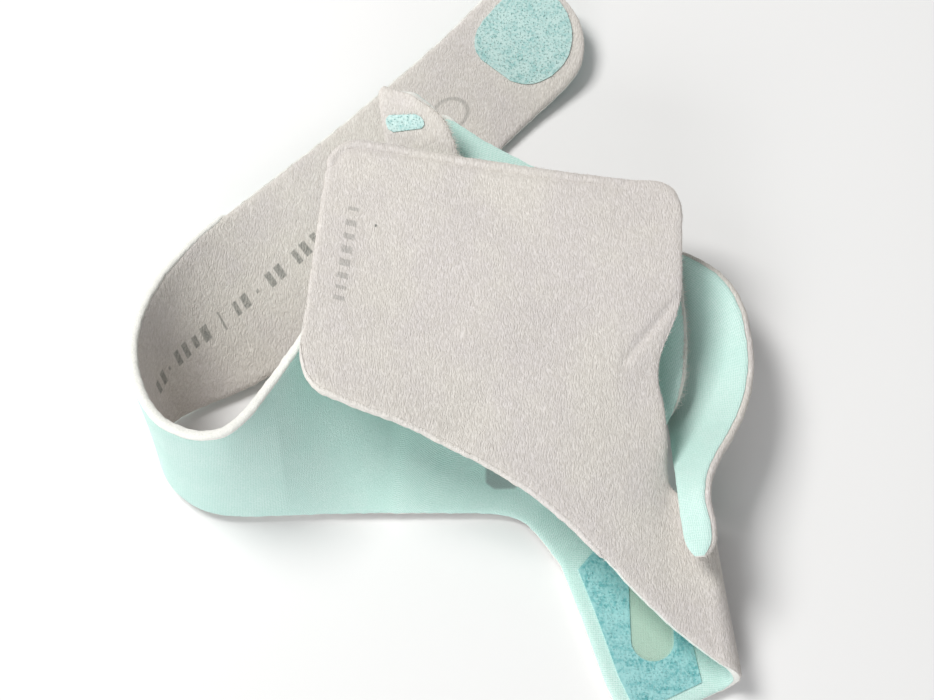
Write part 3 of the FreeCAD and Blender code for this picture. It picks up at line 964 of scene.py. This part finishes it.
def make_strip_hooks(name, strip, side, first, last, share, body, material, shift=0.0):
    """An oval hook patch on a strip's face, between two stations. shift moves it across the strip."""
    chosen = np.flatnonzero((strip["label"] >= first) & (strip["label"] <= last))
    centre, reach = (first + last) / 2, (last - first) / 2
    top, bottom = strip["top"], strip["bottom"]
    rows = []
    lanes = np.linspace(-1, 1, LANES)
    for k in chosen:
        off = abs(strip["label"][k] - centre) / reach
        half = share / 2 * max((1 - off ** 3) ** (1 / 3), 0.4)
        part = (0.5 + shift + half * lanes)[:, None]
        normal = unit(strip["top_normal"][k] * (1 - part) + strip["bottom_normal"][k] * part) * side
        rows.append((top[k] * (1 - part) + bottom[k] * part, normal))
    middle = np.stack([r[0] for r in rows])
    normals = np.stack([r[1] for r in rows])
    patch = {"points": middle, "normals": normals, "edge": np.full(middle.shape[:2], 9.0),
             "length": strip["length"][chosen], "label": strip["label"][chosen],
             "width": np.linalg.norm(middle[:, -1] - middle[:, 0], axis=1)}
    patch["across"] = patch["width"][:, None] * np.linspace(0, 1, LANES)[None]
    vertices, faces, coordinates, _ = shell(patch, slice(None), HOOK_LOW, HOOK_HIGH)
    base = make_object(name + "_base", vertices, faces, coordinates)
    dress(base, material, "teal_hook", name + "_patch")
    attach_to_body(base, body)
    places, ups = [], []
    area = 0.0
    for k in range(len(middle) - 1):
        for j in range(middle.shape[1] - 1):
            cell = np.linalg.norm(np.cross(middle[k + 1, j] - middle[k, j], middle[k, j + 1] - middle[k, j]))
            area += cell / 0.5
            while area > 1:
                area -= 1
                a, b = rng.uniform(0, 1, 2)
                spot = middle[k, j] * (1 - a) * (1 - b) + middle[k + 1, j] * a * (1 - b)
                spot = spot + middle[k, j + 1] * (1 - a) * b + middle[k + 1, j + 1] * a * b
                places.append(spot + normals[k, j] * HOOK_HIGH)
                ups.append(normals[k, j])
    places, ups = np.array(places), np.array(ups)
    heights = rng.uniform(0.2, 0.35, (len(places), 1))
    hooks = hook_field(name + "_hooks", places, ups, heights, np.array([0.5, 0.5, 0]))
    dress(hooks, material, "teal_hook")
    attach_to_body(hooks, body)


def rows_between(strip, low, high):
    """The rows from one station label to another, ends included."""
    found = np.flatnonzero((strip["label"] >= low - 1e-6) & (strip["label"] <= high + 1e-6))
    return slice(found[0], found[-1] + 1)


band = lay_grid(ruled_strip([(PANEL, len(PANEL) - 2.0, 0), (STRAP, 0, 11.98)], 11), 60, (False, True))
flap = lay_grid(ruled_strip([(FLAP, 0, len(FLAP) - 2.0)], 23), 60, (False, True))
short = lay_grid(ruled_strip([(SHORT, 0, len(SHORT) - 2.0)], 31), 26, (True, True), 0.2)
tab = lay_grid(ruled_strip([(TAB, 0, len(TAB) - 2.0)], 41), 20, (True, True), 0.2)

FLOOR_REACH, FLOOR_HEIGHT = 3, -0.0003
floor_mesh = bpy.data.meshes.new("floor")
corner_signs = ((-1, -1), (1, -1), (1, 1), (-1, 1))
floor_corners = [(x * FLOOR_REACH, y * FLOOR_REACH, FLOOR_HEIGHT) for x, y in corner_signs]
floor_mesh.from_pydata(floor_corners, [], [(0, 1, 2, 3)])
floor = bpy.data.objects.new("floor", floor_mesh)
bpy.context.scene.collection.objects.link(floor)
ground = Shader("floor_paint")
ground.set(Base_Color=colour(0.93, 0.93, 0.93), Roughness=0.9, Specular_IOR_Level=0.1)
floor_mesh.materials.append(ground.material)

split = rows_between(band, -99, 6.2)
rest_of_band = slice(split.stop - 1, len(band["label"]))
LOOP_BEND = ("wrap", "strap_run", 3.6, 4.5)
TIP_BEND = ("strap_run", "strap_tip", 8.1, 9.0)
FLAP_BEND = ("wrap", "flap", 2.6, 3.6)
SHORT_BEND = ("wrap", "short_tip", 5.8, 6.6)
TAB_BEND = ("wrap", "tab_end", 2.6, 3.25)
make_layers("band", band, split, 1, LOOP_BEND, ("panel", "loop", "run"), pile=strap_grey)
make_layers("strap_end", band, rest_of_band, 1, TIP_BEND, ("run", "tip"), pile=strap_grey)
make_layers("flap_sheet", flap, slice(None), -1, FLAP_BEND, ("fold", "flap"),
            pile_relief=flap_relief(flap), fuzz=12.0, fuzz_end=len(flap["label"]) - 1, pile=flap_grey)
make_layers("short_sheet", short, slice(None), -1, SHORT_BEND, ("short_band", "short_tip"),
            fuzz=9.0)
make_layers("tab_sheet", tab, slice(None), -1, TAB_BEND, ("tab_root", "tab"), fuzz=9.0)
fray("panel_fray", band, -9.6, -6.2, "top", -1, LOOP_BEND, 24.0, 2.2)
fray("panel_fray_upper", band, -9.6, -6.2, "top", 1, LOOP_BEND, 24.0, 2.0)
fray("tab_fray", tab, 1.5, 4.4, "top", 1, TAB_BEND, 22.0, 1.8)
fray("short_fray", short, 0.8, 9.0, "top", 1, SHORT_BEND, 26.0, 1.2)
fray("flap_fray", flap, 4.2, 13.0, "bottom", 1, FLAP_BEND, 24.0, 1.2)
edge_rim("loop_rim", band, -4.0, 6.2, "top", LOOP_BEND, foam, "foam", 1.1, 0.8)
edge_rim("strap_rim", band, 6.2, 11.8, "top", TIP_BEND, foam, "foam", 0.95, 0.3)
edge_rim("flap_rim", flap, 4.2, 13.0, "bottom", FLAP_BEND, fuzz_grey, "grey_pile", 1.0, 0.7, 0.1)
edge_rim("short_rim", short, 0.8, 9.6, "top", SHORT_BEND, grey, "grey_pile", 0.85, 0.9, 0.35)
edge_rim("panel_rim", band, -9.8, -6.0, "top", LOOP_BEND, fuzz_grey, "grey_pile", 0.85, 0.7)
make_lobe()
make_lobe_hooks()
make_strip_hooks("tip_hook", band, -1, 9.2, 11.7, 0.74, "strap_tip", pale_teal)
make_strip_hooks("tab_hook", tab, 1, 3.2, 3.8, 0.6, "tab_end", pale_teal, 0.13)


# ---------------------------------------------------------------- camera and light

ELEVATION = math.radians(68)
TARGET = Vector((4.5, -11.8, 18)) * MM
DISTANCE = 330 * MM

camera_data = bpy.data.cameras.new("camera")
camera_data.lens = 60
camera_data.sensor_width = 36
camera_data.clip_start = 0.01
camera = bpy.data.objects.new("camera", camera_data)
camera.location = TARGET + Vector((0, -math.cos(ELEVATION), math.sin(ELEVATION))) * DISTANCE
camera.rotation_euler = (math.radians(90) - ELEVATION, 0, 0)
bpy.context.scene.collection.objects.link(camera)
bpy.context.scene.camera = camera


def add_area(name, place, size, power, tint):
    data = bpy.data.lights.new(name, "AREA")
    data.size = size
    data.energy = power
    data.color = tint
    lamp = bpy.data.objects.new(name, data)
    lamp.location = place
    lamp.rotation_euler = (-Vector(place)).to_track_quat("-Z", "Y").to_euler()
    bpy.context.scene.collection.objects.link(lamp)


add_area("key", (-0.42, 0.26, 0.7), 0.34, 6.3, (1.0, 0.99, 0.97))
add_area("fill", (-0.3, -0.85, 0.36), 0.6, 5.0, (0.98, 0.99, 1.0))
world = bpy.data.worlds.new("studio")
world.use_nodes = True
world.node_tree.nodes["Background"].inputs["Color"].default_value = (1, 1, 1, 1)
world.node_tree.nodes["Background"].inputs["Strength"].default_value = 0.3
bpy.context.scene.world = world
bpy.context.scene.view_settings.view_transform = "Standard"
